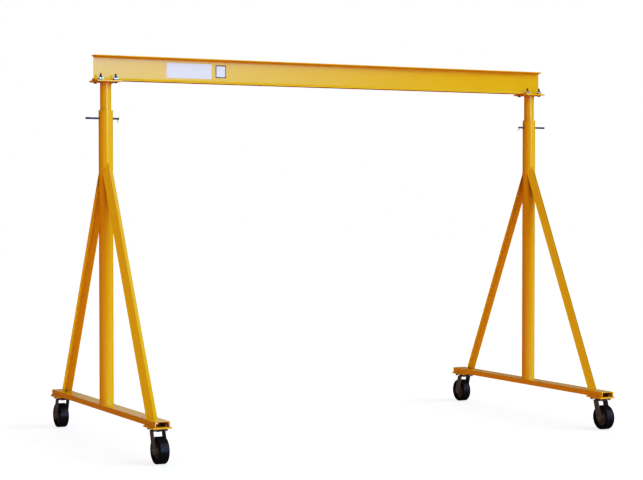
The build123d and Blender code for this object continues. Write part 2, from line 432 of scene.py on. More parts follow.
def threaded(name, bolt, foot, top):
    """A stud with ringed threads and a chamfered tip."""
    pitch = bolt * thread_pitch_share
    depth = bolt * thread_depth_share
    crest = bolt / 2
    root = crest - depth
    outline = [(0, foot), (root, foot)]
    count = int((top - foot) / pitch - 1)
    for turn in range(count):
        outline.append((crest, foot + (turn + 0.5) * pitch))
        outline.append((root, foot + (turn + 1) * pitch))
    outline += [(root - depth / 2, top - depth), (root - 2 * depth, top), (0, top)]
    return turned(name, outline, sides=32)


def bolt_parts(bolt, foot, top, stud_length):
    """A bolt on the upright through the origin: shank, head at the foot, nut, and threaded end at the top."""
    head = bolt * head_height_share
    nut = bolt * nut_height_share
    nut_foot = top - stud_length - nut
    return [
        rod("shank", (0, 0, (foot + head + nut_foot) / 2), nut_foot - foot - head, bolt / 2),
        hexagon("head", bolt, head, foot, (-1,)),
        hexagon("nut", bolt, nut, nut_foot, (-1, 1)),
        threaded("stud", bolt, nut_foot, top),
    ]


def washer(diameter, bore, thickness, foot):
    """A flat washer with rounded rims."""
    top, outer = thickness / 2, diameter / 2
    rim = thickness / 4
    half = [(bore / 2, top), (outer - rim, top), (outer, top - rim)]
    return turned("washer", both_halves(half), at=(0, 0, foot + thickness / 2))


def swept(name, kind, spots, radius, steps, radius_shares=(1,), closed=False):
    """A round bar along a route. Its radius steps through the given shares from point to point."""
    route = bpy.data.curves.new(name, "CURVE")
    route.dimensions = "3D"
    line = route.splines.new(kind)
    line.points.add(len(spots) - 1)
    for count, (point, spot) in enumerate(zip(line.points, spots)):
        point.co = (*spot, 1)
        point.radius = radius_shares[count % len(radius_shares)]
    line.use_cyclic_u = closed
    line.order_u = 3
    line.use_endpoint_u = True
    line.resolution_u = 8
    route.bevel_depth = radius
    route.bevel_resolution = steps
    route.use_fill_caps = True
    piece = bpy.data.objects.new(name, route)
    bpy.context.collection.objects.link(piece)
    alone(piece)
    bpy.ops.object.convert(target="MESH")
    return named(name)


# Weld beads
def bead(name, spots, closed=False):
    """A weld bead along a route, with a ripple at every second point."""
    return swept(name, "POLY", spots, weld_size, 1, (ripple_depth_share, 1), closed)


def add_weld(weld, body):
    smooth(weld)
    paint(weld, body)


def straight(start, end):
    """Points a ripple apart from one end of a seam to the other."""
    start, end = Vector(start), Vector(end)
    steps = max(2, round((end - start).length / ripple_pitch))
    return [start.lerp(end, step / steps) for step in range(steps + 1)]


def ring(middle, radius):
    """Points a ripple apart round an upright pipe."""
    steps = 2 * round(math.pi * radius / ripple_pitch)
    turns = [2 * math.pi * step / steps for step in range(steps)]
    return [Vector(middle) + radius * Vector((math.cos(turn), math.sin(turn), 0)) for turn in turns]


# Beam
def make_beam():
    """Starts from the web, and pulls the flanges out of its top and bottom bands."""
    low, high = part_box("beam")
    reach = high.y - beam_web / 2
    root = beam_flange_tip + reach * flange_slope
    taper = root - beam_flange_tip
    beam = block("rolled_beam", (low.x, -beam_web / 2, low.z), (high.x, beam_web / 2, high.z))
    shaping(beam)
    for height in (low.z + root, high.z - root):
        slice_at((0, 0, height), (0, 0, 1))
    for side in (-1, 1):
        pick(beam, "FACE", lambda face: face.normal.y * side > facing_share
             and near(abs(place(face).y), beam_web / 2)
             and not low.z + root < place(face).z < high.z - root)
        pull((0, side * reach, 0))
    for height, drop in ((low.z + root, -taper), (high.z - root, taper)):
        pick(beam, "VERT", lambda corner: near(abs(corner.co.y), high.y) and near(corner.co.z, height))
        bpy.ops.transform.translate(value=(0, 0, drop))
    flatten()
    inner = (high.z - low.z) / 2 - root
    middle = (high.z + low.z) / 2
    for out, up, size, steps in (
            (beam_web / 2, inner, beam_root_radius, 6),
            (high.y, inner + taper, beam_tip_radius, 4)):
        round_edges(beam, lambda edge: runs_along(edge, X) and near(abs(place(edge).y), out)
                    and near(abs(place(edge).z - middle), up), size, steps)
    shaped()
    soften(beam, mill_edge)
    paint(beam, "bridge", "beam")


def make_stickers():
    """Two bare stickers on the front of the web, the small one with a plain dark border."""
    front = -beam_web / 2
    left, right, bottom, top = small_sticker
    inside = (left + sticker_border, right - sticker_border, bottom + sticker_border, top - sticker_border)
    for name, (left, right, bottom, top), depth, finish in (
            ("wide_sticker", wide_sticker, sticker_thickness, sticker_white),
            ("small_sticker_border", small_sticker, sticker_thickness, sticker_dark),
            ("small_sticker_face", inside, 2 * sticker_thickness, sticker_white)):
        sheet = block(name, (left, front - depth, bottom), (right, front, top))
        round_corners(sheet, Y, sticker_corner, steps=4)
        shade(sheet)
        fit(sheet, finish, "bridge", None)


# Plates and bolts under the beam's ends
def four_places(middle, spacing_x, spacing_y, height=0):
    return [(middle.x + side * spacing_x / 2, middle.y + end * spacing_y / 2, height)
            for side in (-1, 1) for end in (-1, 1)]


def drilled(plate, middle, bolt, spacing_x, spacing_y):
    """Cuts a plate's four bolt holes."""
    drills = [rod("drill", spot, bolt * drill_length_share, bolt * hole_radius_share, sides=32)
              for spot in four_places(middle, spacing_x, spacing_y, middle.z)]
    combine(plate, joined("drills", drills), "DIFFERENCE")


def make_top_plates():
    for leg in LEGS:
        low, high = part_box(f"{leg}_top_plate")
        plate = block(f"{leg}_beam_plate", low, high)
        soften(plate, plate_edge)
        drilled(plate, (low + high) / 2, clamp_bolt, clamp_spacing, clamp_spacing)
        paint(plate, "bridge", f"{leg}_top_plate")


def clamp_bolt_model():
    """One clamp bolt on the upright through the origin: head, packing, block, nut and threaded end."""
    low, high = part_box("left_clamp_bolts")
    plate_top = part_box("left_top_plate")[1].z
    block_top = high.z - clamp_stud_length - clamp_bolt * nut_height_share
    block_foot = block_top - clamp_block_thickness
    clamp = block("clamp", (-clamp_block_width / 2, -clamp_block_depth / 2, block_foot),
                  (clamp_block_width / 2, clamp_block_depth / 2, block_top))
    soften(clamp, plate_edge)
    packing_height = block_foot - plate_top
    packing = rod("packing", (0, 0, plate_top + packing_height / 2), packing_height, clamp_packing / 2)
    parts = [clamp, packing, *bolt_parts(clamp_bolt, low.z, high.z, clamp_stud_length)]
    for part in parts[1:]:
        smooth(part)
    for part in parts:
        part.data.materials.append(stud_steel if part.name.startswith("stud") else zinc)
    return joined("clamp bolt", parts)


def bolt_set(model, name, spots):
    """Copies of a bolt at several places, as one piece."""
    return joined(name, [copied(model, "bolt", spot) for spot in spots])


def make_clamp_bolts():
    model = clamp_bolt_model()
    for leg in LEGS:
        spots = four_places(middle_of(f"{leg}_top_plate"), clamp_spacing, clamp_spacing)
        bolts = bolt_set(model, f"{leg}_beam_clamps", spots)
        fit(bolts, None, "bridge", "zinc_bolt", f"{leg}_clamp_bolts")
    bpy.data.objects.remove(model)


# Masts
def pin_drill(middle, height, mast_radius):
    low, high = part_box("left_height_pin")
    radius = (high.z - low.z) / 2 + pin_hole_clearance
    return rod("drill", (middle.x, 0, height), drill_length_share * mast_radius, radius, along="X", sides=48)


def make_masts():
    """Inner and outer pipes with their pin holes, and a weld bead at the welded end of each."""
    for leg in LEGS:
        pin = middle_of(f"{leg}_height_pin")
        for mast, name, wall, holes, finish, body, weld in (
                ("inner", "sliding", inner_mast_wall, hole_count, crane_paint, "bridge", "top_plate"),
                ("outer", "fixed", outer_mast_wall, 1, mast_paint_with_painted_shade, "legs", "mast_foot")):
            low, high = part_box(f"{leg}_{mast}_mast")
            middle, radius = (low + high) / 2, (high.x - low.x) / 2
            pipe = tube(f"{leg}_{name}_pipe", middle, high.z - low.z, radius, wall)
            drills = [pin_drill(middle, pin.z - step * hole_pitch, radius) for step in range(holes)]
            combine(pipe, joined("drills", drills), "DIFFERENCE")
            smooth(pipe)
            fit(pipe, finish, body, "crane_paint", f"{leg}_{mast}_mast")
            welded_end = high.z if mast == "inner" else low.z
            seam = ring((middle.x, middle.y, welded_end), radius)
            add_weld(bead(f"{leg}_{weld}_weld", seam, closed=True), body)


def make_pins():
    """Height pins, turned from bar with a groove near the long end, each with its wire clip."""
    clip_turn = (math.radians(clip_swing), 0, 0)
    for leg, side in LEGS.items():
        mast = middle_of(f"{leg}_outer_mast")
        low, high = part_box(f"{leg}_height_pin")
        middle, radius = (low + high) / 2, (high.z - low.z) / 2
        half = (high.x - low.x) / 2
        groove = side * (mast.x + side * pin_groove_reach - middle.x)
        groove_start, groove_end = groove - pin_groove_width / 2, groove + pin_groove_width / 2
        outline = [
            (0, -half),
            (radius - pin_chamfer, -half),
            (radius, pin_chamfer - half),
            (radius, groove_start),
            (radius - pin_groove_depth, groove_start),
            (radius - pin_groove_depth, groove_end),
            (radius, groove_end),
            (radius, half - pin_chamfer),
            (radius - pin_chamfer, half),
            (0, half),
        ]
        if side < 0:
            outline = [(r, -x) for r, x in reversed(outline)]
        pin = turned(f"{leg}_round_pin", outline, at=middle, along="X", sides=40)
        clip_place = (middle_of(f"{leg}_pin_clip").x, middle.y, middle.z)
        bore = clip_wire + 2 * pin_hole_clearance
        drill = rod("drill", (0, 0, 0), drill_length_share * radius, bore / 2, sides=24)
        combine(pin, moved(drill, clip_place, clip_turn), "DIFFERENCE")
        smooth(pin)
        fit(pin, pin_steel, "legs", "pin_steel", f"{leg}_height_pin")
        clip = moved(clip_model(radius), clip_place, clip_turn)
        clip.name = f"{leg}_wire_clip"
        smooth(clip)
        fit(clip, wire, "legs", "clip_wire", f"{leg}_pin_clip")


def clip_model(pin_radius):
    """A wire hairpin about the pin's axis: one leg goes through the pin, the other springs round it."""
    beside = -(pin_radius + clip_wire / 2 + pin_hole_clearance)
    bow = -clip_bow_width
    top = pin_radius + clip_above_pin
    bottom = -pin_radius - clip_drop
    through = [(0, 0, top), (0, 0, 0), (0, 0, bottom)]
    round_pin = [(0, bow, bottom), (0, bow, bottom / 2), (0, beside, -clip_wire), (0, beside, top)]
    return swept("clip", "NURBS", through + round_pin, clip_wire / 2, 3)


# Base channels, web up
def make_channels():
    """Starts from the web, and pulls the flanges down from its sides."""
    for leg in LEGS:
        low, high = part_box(f"{leg}_base_channel")
        middle = (low.x + high.x) / 2
        drop = high.z - low.z - channel_web
        inside = high.x - middle - channel_flange_tip
        inside_top = inside - drop * flange_slope
        channel = block(f"{leg}_floor_channel", (low.x, low.y, high.z - channel_web), high)
        shaping(channel)
        for side in (-1, 1):
            slice_at((middle + side * inside_top, 0, 0), (1, 0, 0))
        pick(channel, "FACE", lambda face: face.normal.z < -facing_share
             and abs(place(face).x - middle) > inside_top)
        pull((0, 0, -drop))
        for side in (-1, 1):
            pick(channel, "VERT", lambda corner: near(corner.co.z, low.z)
                 and near(corner.co.x, middle + side * inside_top))
            bpy.ops.transform.translate(value=(side * (inside - inside_top), 0, 0))
        flatten()
        for out, size, steps in ((inside_top, channel_root_radius, 5), (inside, channel_toe_radius, 3)):
            round_edges(channel, lambda edge: runs_along(edge, Y) and near(abs(place(edge).x - middle), out),
                        size, steps)
        shaped()
        soften(channel, mill_edge)
        paint(channel, "legs", f"{leg}_base_channel")


# Angle braces
def make_braces():
    """Each brace keeps its coped shape from the frame, with its edges rounded, and is welded at both ends."""
    for leg in LEGS:
        for end_name, end in ENDS.items():
            node = f"{leg}_{end_name}_brace"
            brace = copied(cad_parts[node], f"{leg}_{end_name}_angle")
            shaping(brace)
            pick_all()
            bpy.ops.mesh.remove_doubles(threshold=close)
            flatten(math.radians(1))
            shaped()
            soften(brace, cut_edge)
            paint(brace, "legs", node)
            add_weld(joined(f"{leg}_{end_name}_brace_welds", brace_beads(node, leg, end)), "legs")


def brace_beads(node, leg, end):
    """Beads along the outer faces of an angle brace, at the channel and up round the mast."""
    low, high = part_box(node)
    mast_low, mast_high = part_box(f"{leg}_outer_mast")
    radius = (mast_high.x - mast_low.x) / 2
    middle = (low.x + high.x) / 2
    half_width = (high.x - low.x) / 2
    foot = max(abs(low.y), abs(high.y))
    lean = math.atan((foot - radius) / (high.z - low.z))
    toe_back = half_width / math.cos(lean)
    beads = []
    for side in (-1, 1):
        beads.append(bead("bead", straight(
            (middle, end * foot, low.z),
            (middle + side * half_width, end * (foot - toe_back), low.z))))
        seam = []
        steps = round(half_width * 2 / ripple_pitch)
        for step in range(steps + 1):
            across = half_width * step / steps
            back = math.sqrt(radius ** 2 - across ** 2)
            height = (foot - toe_back * across / half_width - back) / math.tan(lean)
            seam.append((middle + side * across, end * back, low.z + height))
        beads.append(bead("bead", seam))
    return beads


# Pads and caster bolts
def make_pads():
    for leg in LEGS:
        channel_low, channel_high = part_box(f"{leg}_base_channel")
        for end_name in ENDS:
            node = f"{leg}_{end_name}_caster_pad"
            low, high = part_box(node)
            pad = block(f"{leg}_{end_name}_pad", low, high)
            round_corners(pad, Z, pad_corner, steps=4)
            soften(pad, plate_edge)
            drilled(pad, (low + high) / 2, caster_bolt, caster_bolt_spacing_x, caster_bolt_spacing_y)
            paint(pad, "legs", node)
            first = max(low.y, channel_low.y) + weld_size
            last = min(high.y, channel_high.y) - weld_size
            seams = [bead("bead", straight((x, first, high.z), (x, last, high.z)))
                     for x in (channel_low.x, channel_high.x)]
            add_weld(joined(f"{leg}_{end_name}_pad_welds", seams), "legs")


def caster_bolt_model():
    """One caster bolt on the upright through the origin: head and washer below, nut above."""
    low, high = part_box("left_caster_bolts")
    washer_foot = low.z + caster_bolt * head_height_share
    parts = [
        washer(caster_washer, caster_bolt, caster_washer_thickness, washer_foot),
        *bolt_parts(caster_bolt, low.z, high.z, caster_stud_length),
    ]
    for part in parts:
        smooth(part)
    return joined("caster bolt", parts)


def make_caster_bolts():
    model = caster_bolt_model()
    for leg in LEGS:
        spots = []
        for end_name in ENDS:
            middle = middle_of(f"{leg}_{end_name}_caster_plate")
            spots += four_places(middle, caster_bolt_spacing_x, caster_bolt_spacing_y)
        bolts = bolt_set(model, f"{leg}_base_bolts", spots)
        fit(bolts, zinc, "legs", "zinc_bolt", f"{leg}_caster_bolts")
    bpy.data.objects.remove(model)


# Casters, modelled at the front left and copied to the other corners
def caster_plate_model():
    """Top plate with rounded corners, the turned race under it and the kingpin with its nut."""
    low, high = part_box("left_front_caster_plate")
    middle = (low + high) / 2
    plate_foot = high.z - caster_plate_thickness
    plate = block("plate", (low.x, low.y, plate_foot), high)
    round_corners(plate, Z, caster_plate_corner, steps=6)
    soften(plate, plate_edge)
    drilled(plate, middle, caster_bolt, caster_bolt_spacing_x, caster_bolt_spacing_y)
    race_foot = plate_foot - race_depth
    outer = race_diameter / 2
    lip = race_depth / 4
    race = turned("race", [
        (0, plate_foot),
        (outer, plate_foot),
        (outer, plate_foot - lip),
        (outer - lip, plate_foot - 2 * lip),
        (outer - lip, plate_foot - 3 * lip),
        (outer, race_foot + lip / 2),
        (outer - lip / 2, race_foot),
        (0, race_foot),
    ], at=(middle.x, middle.y, 0))
    nut_top = low.z + kingpin_nut_height
    rim = kingpin_nut_height / 4
    pin_radius = kingpin_diameter / 2
    kingpin = turned("kingpin", [
        (0, race_foot),
        (pin_radius, race_foot),
        (pin_radius, nut_top),
        (kingpin_nut / 2 + rim, nut_top),
        (kingpin_nut / 2 + rim, nut_top - rim),
        (pin_radius * kingpin_collar_share, nut_top - rim),
        (pin_radius * kingpin_tip_share, low.z),
        (0, low.z),
    ], at=(middle.x, middle.y, 0))
    nut = hexagon("nut", kingpin_nut / nut_flats_share, kingpin_nut_height * thin_nut_share, low.z, (-1,))
    nut.location = (middle.x, middle.y, 0)
    for part in (race, kingpin, nut):
        smooth(part)
    return joined("caster plate", [plate, race, kingpin, nut])


def fork_model():
    """Two leg plates, each the hull of its top edge and its boss, under a round crown."""
    low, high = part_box("left_front_fork")
    axle = middle_of("left_front_axle")
    plate = middle_of("left_front_caster_plate")
    foot = high.z - crown_thickness
    front, rear = plate.y - fork_top_width / 2, plate.y + fork_top_width / 2
    parts = []
    for side, face in ((-1, low.x), (1, high.x - fork_plate)):
        bar = block("bar", (face, front, foot), (face + fork_plate, rear, high.z))
        boss = rod("boss", (face + fork_plate / 2, axle.y, axle.z), fork_plate, fork_boss_radius, along="X")
        leg = joined("leg", [bar, boss])
        shaping(leg)
        pick_all()
        bpy.ops.mesh.convex_hull()
        flatten()
        shaped()
        soften(leg, mill_edge)
        inner = face + fork_plate if side < 0 else face
        seam = bead("bead", straight((inner, front + weld_size, foot), (inner, rear - weld_size, foot)))
        smooth(seam)
        parts += [leg, seam]
    outer = (high.x - low.x) / 2
    bore = kingpin_diameter / 2 + swivel_gap
    rim = crown_thickness / 4
    crown = turned("crown", [
        (bore, high.z),
        (outer - rim, high.z),
        (outer, high.z - rim),
        (outer, foot + rim),
        (outer - rim, foot),
        (bore, foot),
        (bore, high.z),
    ], at=(plate.x, plate.y, 0), sides=96)
    smooth(crown)
    return joined("fork", [crown, *parts])


def axle_model():
    """Axle bolt with a washer at each end, a head at one and a nut with a threaded tip at the other."""
    low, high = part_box("left_front_axle")
    fork_low, fork_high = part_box("left_front_fork")
    half = (high.x - low.x) / 2
    face = (fork_high.x - fork_low.x) / 2
    head = half - face - axle_washer_thickness
    shank = rod("shank", (0, 0, 0), 2 * face, axle_diameter / 2)
    parts = [
        shank,
        washer(axle_washer, axle_diameter, axle_washer_thickness, face),
        washer(axle_washer, axle_diameter, axle_washer_thickness, -face - axle_washer_thickness),
        hexagon("head", axle_diameter, head, -half, (-1,)),
        hexagon("nut", axle_diameter, head * thin_nut_share, half - head, (-1, 1)),
        threaded("stud", axle_diameter, half - head, half),
    ]
    for part in parts:
        smooth(part)
    return moved(joined("axle", parts), (low + high) / 2, TURNS["X"])


def tyre_model():
    low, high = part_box("left_front_tyre")
    tread, half_width = (high.z - low.z) / 2, (high.x - low.x) / 2
    inside = tread - tyre_thickness
    half = [
        (inside, half_width - bond_line),
        (inside + bond_line, half_width - bond_line),
        (inside + 2 * bond_line, half_width),
        *quarter(tread - tyre_shoulder, half_width - tyre_shoulder, tyre_shoulder, 7),
    ]
    tyre = turned("tyre", both_halves(half), at=middle_of("left_front_tyre"), along="X", sides=128)
    smooth(tyre)
    return tyre


def wheel_core_model():
    """Cast core: rim, dished disc, hub and bearing face. The faces at the rim and its inner wall take the
    dark tread finish.
    """
    tyre_low, tyre_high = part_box("left_front_tyre")
    low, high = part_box("left_front_wheel_core")
    rim = (high.z - low.z) / 2
    rim_half = (tyre_high.x - tyre_low.x) / 2
    hub_half = (high.x - low.x) / 2
    hub = hub_diameter / 2
    inner_rim = rim - rim_thickness
    disc = core_disc / 2
    bend = core_fillet / 3
    half = [
        (axle_diameter / 2 + swivel_gap, hub_half - bearing_recess),
        (bearing_face / 2, hub_half - bearing_recess),
        (bearing_face / 2 + bearing_recess, hub_half),
        (hub - rim_lip, hub_half),
        (hub, hub_half - rim_lip),
        (hub + bearing_recess, disc + core_fillet),
        (hub + core_fillet / 2, disc + bend),
        (hub + core_fillet, disc),
        (inner_rim - core_fillet, disc),
        (inner_rim - bend, disc + core_fillet / 2),
        (inner_rim, disc + core_fillet),
        (inner_rim + rim_lip / 2, rim_half - rim_lip),
        (inner_rim + rim_lip, rim_half),
        (rim - rim_lip / 2, rim_half),
        (rim, rim_half - rim_lip / 2),
    ]
    middle = middle_of("left_front_tyre")
    core = turned("core", both_halves(half), at=middle, along="X", sides=96)
    smooth(core)
    core.data.materials.append(cast_core)
    core.data.materials.append(rubber)
    for face in core.data.polygons:
        if (face.center - middle).yz.length > inner_rim - bend:
            face.material_index = 1
    return core


def make_casters():
    """Five models, each copied to all four corners. The rear ones are turned half way round."""
    start = middle_of("left_front_caster_plate")
    start.z = 0
    models = {
        ("caster_plate", "legs"): (caster_plate_model(), caster_steel, "caster_steel"),
        ("fork", "swivel"): (fork_model(), caster_steel, "caster_steel"),
        ("axle", "swivel"): (axle_model(), caster_steel, "caster_steel"),
        ("tyre", "wheel"): (tyre_model(), rubber, "tyre"),
        ("wheel_core", "wheel"): (wheel_core_model(), None, "wheel_core"),
    }
    for (kind, body), (model, finish, slot) in models.items():
        model.data.transform(Matrix.Translation(-start))
        for leg in LEGS:
            for end_name, end in ENDS.items():
                corner = f"{leg}_{end_name}"
                spot = middle_of(f"{corner}_caster_plate")
                turn = math.pi if end > 0 else 0
                copy = copied(model, f"{corner}_{kind}_finished", (spot.x, spot.y, 0), turn)
                rides = body if body == "legs" else f"{corner}_{body}"
                fit(copy, finish, rides, slot, f"{corner}_{kind}")
        bpy.data.objects.remove(model)


# Shader nodes. Sockets that share a name go by their place, and so does the tone curve of all colours
COLOUR_A, COLOUR_B, MIXED_COLOUR = 6, 7, 2
ALL_TONES = 3
noise_middle = 0.5


def fill(tree, node, inputs):
    """Gives each named input a plain value, or links it to an output of another node."""
    for name, value in inputs.items():
        if isinstance(value, bpy.types.NodeSocket):
            tree.links.new(value, node.inputs[name])
        else:
            node.inputs[name].default_value = value


def outputs_of(tree, kind, inputs=None):
    """The outputs of a new node whose inputs are filled."""
    node = tree.nodes.new(kind)
    fill(tree, node, inputs or {})
    return node.outputs


def worked_out(tree, operation, *values):
    """The result of a sum with plain values or outputs."""
    step = tree.nodes.new("ShaderNodeMath")
    step.operation = operation
    fill(tree, step, dict(enumerate(values)))
    return step.outputs[0]


def rise(tree, value, none_at, full_at, kind="LINEAR"):
    """Goes from none to full between two values."""
    ramp = tree.nodes.new("ShaderNodeMapRange")
    ramp.interpolation_type = kind
    fill(tree, ramp, {"Value": value, "From Min": none_at, "From Max": full_at})
    return ramp.outputs["Result"]


def blended(tree, share, colour, other):
    """Goes from a colour to another one as a share rises."""
    blend = tree.nodes.new("ShaderNodeMix")
    blend.data_type = "RGBA"
    fill(tree, blend, {"Factor": share, COLOUR_A: colour, COLOUR_B: other})
    return blend.outputs[MIXED_COLOUR]


def object_place(tree):
    return outputs_of(tree, "ShaderNodeTexCoord")["Object"]


def split(tree, vector):
    return outputs_of(tree, "ShaderNodeSeparateXYZ", {0: vector})


def shader_group(name, inputs, outputs):
    """An empty group with its sockets, the outputs of its input node, and its output node."""
    group = bpy.data.node_groups.new(name, "ShaderNodeTree")
    for way, sockets in (("INPUT", inputs), ("OUTPUT", outputs)):
        for label, kind in sockets:
            group.interface.new_socket(label, in_out=way, socket_type=f"NodeSocket{kind}")
    return group, group.nodes.new("NodeGroupInput").outputs, group.nodes.new("NodeGroupOutput")


def use_group(tree, group, inputs):
    node = tree.nodes.new("ShaderNodeGroup")
    node.node_tree = group
    fill(tree, node, inputs)
    return node.outputs


# Groups that all finishes use
mottle_detail = 5
mottle_roughness = 0.6
mottle_edge = (0.35, 0.7)
grain_detail = 3
waver_detail = 4
waver_scale_share = 0.04


def mottle_group():
    """Soft cloudy patches of a second colour."""
    group, given, result = shader_group(
        "mottle",
        (("Colour", "Color"), ("Patch Colour", "Color"), ("Patch Scale", "Float"), ("Amount", "Float")),
        (("Colour", "Color"),))
    cloud = outputs_of(group, "ShaderNodeTexNoise", {
        "Vector": object_place(group),
        "Scale": given["Patch Scale"],
        "Detail": mottle_detail,
        "Roughness": mottle_roughness,
    })
    patch = rise(group, cloud["Fac"], *mottle_edge, "SMOOTHSTEP")
    share = worked_out(group, "MULTIPLY", patch, given["Amount"])
    fill(group, result, {"Colour": blended(group, share, given["Colour"], given["Patch Colour"])})
    return group


def grain_group():
    """Fine surface grain as a height, and a roughness that wavers with a coarser pattern."""
    group, given, result = shader_group(
        "grain",
        (("Grain Scale", "Float"), ("Roughness", "Float"), ("Waver", "Float")),
        (("Height", "Float"), ("Roughness", "Float")))
    spot = object_place(group)
    fine = outputs_of(group, "ShaderNodeTexNoise", {
        "Vector": spot,
        "Scale": given["Grain Scale"],
        "Detail": grain_detail,
    })
    coarse = outputs_of(group, "ShaderNodeTexNoise", {
        "Vector": spot,
        "Scale": worked_out(group, "MULTIPLY", given["Grain Scale"], waver_scale_share),
        "Detail": waver_detail,
    })
    centred = worked_out(group, "SUBTRACT", coarse["Fac"], noise_middle)
    wavered = worked_out(group, "MULTIPLY_ADD", centred, given["Waver"], given["Roughness"])
    fill(group, result, {"Height": fine["Fac"], "Roughness": wavered})
    return group


mottle = mottle_group()
grain = grain_group()


def finish_of(name, colour, patch, patch_scale, patch_amount, grain_scale, roughness, waver,
              grain_depth=0.00002, metallic=0.0, coat=0.0, coat_roughness=0.1, specular=0.5,
              specular_tint=(1, 1, 1)):
    """A material with its colour, patches, grain and gloss."""
    material = bpy.data.materials.new(name)
    material.use_nodes = True
    tree = material.node_tree
    patches = use_group(tree, mottle, {
        "Colour": (*colour, 1),
        "Patch Colour": (*patch, 1),
        "Patch Scale": patch_scale,
        "Amount": patch_amount,
    })
    surface = use_group(tree, grain, {
        "Grain Scale": grain_scale,
        "Roughness": roughness,
        "Waver": waver,
    })
    bump = outputs_of(tree, "ShaderNodeBump", {
        "Strength": 1.0,
        "Distance": grain_depth,
        "Height": surface["Height"],
    })
    fill(tree, tree.nodes["Principled BSDF"], {
        "Base Color": patches["Colour"],
        "Metallic": metallic,
        "Roughness": surface["Roughness"],
        "Normal": bump["Normal"],
        "Specular IOR Level": specular,
        "Specular Tint": (*specular_tint, 1),
        "Coat Weight": coat,
        "Coat Roughness": coat_roughness,
    })
    return material


# Painted shade: the paint goes over to a darker colour in narrow hollows, found by ambient occlusion. On the
# outer masts this painted shade lies in the wide gap between the braces instead, from a way below the braces'
# top and up
hollow_samples = 8
closed_share = 0.02
painted_hollow_shade = {"colour": (0.16, 0.035, 0.001), "reach": 0.08, "open_share": 0.2}
painted_gap_shade = {"colour": (0.12, 0.045, 0.002), "reach": 0.35, "open_share": 0.95}
gap_shade_below_brace_top = 0.9
gap_shade_fade = 0.3


def paint_shade_into(material, colour, reach, open_share, lowest=None):
    """Paints shade into a finish's colour in hollows, or only in those above a lowest height."""
    tree = material.node_tree
    base = tree.nodes["Principled BSDF"].inputs["Base Color"]
    hollow = tree.nodes.new("ShaderNodeAmbientOcclusion")
    hollow.samples = hollow_samples
    hollow.inputs["Distance"].default_value = reach
    unshaded_share = rise(tree, hollow.outputs["AO"], closed_share, open_share, "SMOOTHSTEP")
    if lowest is not None:
        below = rise(tree, split(tree, object_place(tree))["Z"], lowest + gap_shade_fade, lowest)
        unshaded_share = worked_out(tree, "MAXIMUM", below, unshaded_share)
    shaded_colour = blended(tree, unshaded_share, (*colour, 1), base.links[0].from_socket)
    tree.links.new(shaded_colour, base)


# Finishes
crane_paint = finish_of(
    "safety yellow paint", (0.80, 0.47, 0.012), (0.79, 0.45, 0.010), 1.7, 0.5,
    grain_scale=420, roughness=0.5, waver=0.10, coat=1.0, coat_roughness=0.13,
    specular=0.0)
# A copy of the paint with painted shade in the braces' gap for the outer masts, and painted shade in hollows
# for the rest
mast_paint_with_painted_shade = crane_paint.copy()
mast_paint_with_painted_shade.name = "safety yellow mast paint with painted shade"
paint_shade_into(crane_paint, **painted_hollow_shade)
paint_shade_into(mast_paint_with_painted_shade, **painted_gap_shade, lowest=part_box("left_front_brace")[1].z - gap_shade_below_brace_top)
zinc = finish_of(
    "bright zinc plate", (1.0, 0.86, 0.80), (0.84, 0.72, 0.67), 60, 0.5,
    grain_scale=900, roughness=0.30, waver=0.15, metallic=1.0)
stud_steel = finish_of(
    "plain threaded steel", (0.42, 0.40, 0.41), (0.28, 0.27, 0.27), 60, 0.5,
    grain_scale=900, roughness=0.40, waver=0.15, metallic=1.0)
pin_steel = finish_of(
    "bright steel bar", (0.30, 0.28, 0.33), (0.16, 0.15, 0.18), 40, 0.6,
    grain_scale=700, grain_depth=0.00003, roughness=0.38, waver=0.2, metallic=1.0)
wire = finish_of(
    "spring wire", (0.72, 0.70, 0.66), (0.5, 0.48, 0.45), 90, 0.5,
    grain_scale=900, grain_depth=0.00001, roughness=0.35, waver=0.1, metallic=1.0)
caster_steel = finish_of(
    "dark caster paint", (0.150, 0.155, 0.155), (0.105, 0.108, 0.108), 9, 0.6,
    grain_scale=500, grain_depth=0.00006, roughness=0.32, waver=0.2)
rubber = finish_of(
    "dark tread", (0.005, 0.005, 0.006), (0.008, 0.007, 0.008), 14, 0.5,
    grain_scale=650, grain_depth=0.00003, roughness=0.34, waver=0.12, specular=0.66,
    specular_tint=(1, 0.84, 0.92))
cast_core = finish_of(
    "dark casting", (0.135, 0.133, 0.134), (0.095, 0.094, 0.095), 20, 0.6,
    grain_scale=380, grain_depth=0.00015, roughness=0.5, waver=0.2)
sticker_white = finish_of(
    "pale sticker", (0.76, 0.75, 0.82), (0.70, 0.69, 0.74), 20, 0.4,
    grain_scale=700, grain_depth=0.00001, roughness=0.35, waver=0.05)
sticker_dark = finish_of(
    "dark sticker border", (0.035, 0.045, 0.065), (0.05, 0.06, 0.08), 20, 0.4,
    grain_scale=700, grain_depth=0.00001, roughness=0.35, waver=0.05)

make_beam()
make_stickers()
make_top_plates()
make_clamp_bolts()
make_masts()
make_pins()
make_channels()
make_braces()
make_pads()
make_caster_bolts()
make_casters()


# Floor, studio light and camera
floor_size = 80
floor_glow = 0.685
floor_shadow = (0.39, 0.40, 0.40, 1)
floor_bounce = (0.92, 0.48, 0.26, 1)
# In the crane's gloss the floor is dark, with a sheen in front of the crane. It rises from the first Y of
# each pair to the second, first on the side towards the crane and then on the side away from it
floor_dark = (0.09, 0.08, 0.08, 1)
floor_sheen = (0.53, 0.51, 0.78, 1)
floor_sheen_reach = ((-1.6, -3.5), (-10, -5))
